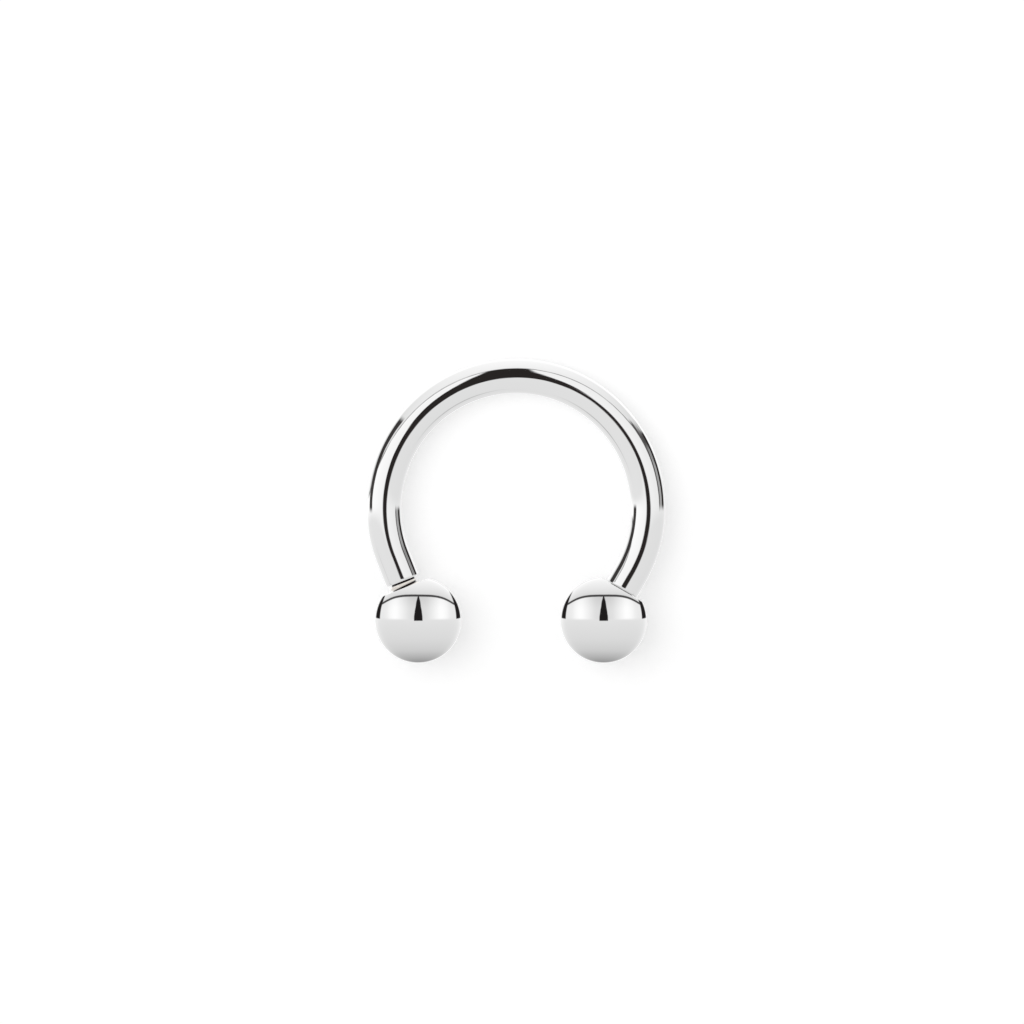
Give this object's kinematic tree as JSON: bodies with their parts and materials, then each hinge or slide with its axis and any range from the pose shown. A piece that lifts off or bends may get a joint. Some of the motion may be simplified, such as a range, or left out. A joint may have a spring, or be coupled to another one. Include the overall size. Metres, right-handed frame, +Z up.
{
  "type": "horseshoe barbell",
  "caption": "Open ring of round polished wire with short straight legs and a screwed ball on each end, lying on its side.",
  "frame": {"origin": "on the surface that it lies on, under the middle of its box", "axes": "+X from the left ball to the right ball, +Y from the balls to the middle of the bend, +Z up"},
  "size_m": [0.0104, 0.0106, 0.003],
  "materials": {
    "polished_steel": "mirror-polished surgical steel"
  },
  "bodies": {
    "bar": {"curved_bar": "polished_steel"},
    "ball_left": {"ball_left": "polished_steel"},
    "ball_right": {"ball_right": "polished_steel"}
  },
  "joints": [
    {"name": "ball_left_unscrews", "type": "slide", "parent": "bar", "child": "ball_left", "axis": [0.3667, -0.9251, 0.0985], "range_m": [-0.00022, 0.0025]},
    {"name": "ball_right_unscrews", "type": "slide", "parent": "bar", "child": "ball_right", "axis": [-0.4998, -0.8613, 0.0917], "range_m": [0, 0.0025]}
  ]
}
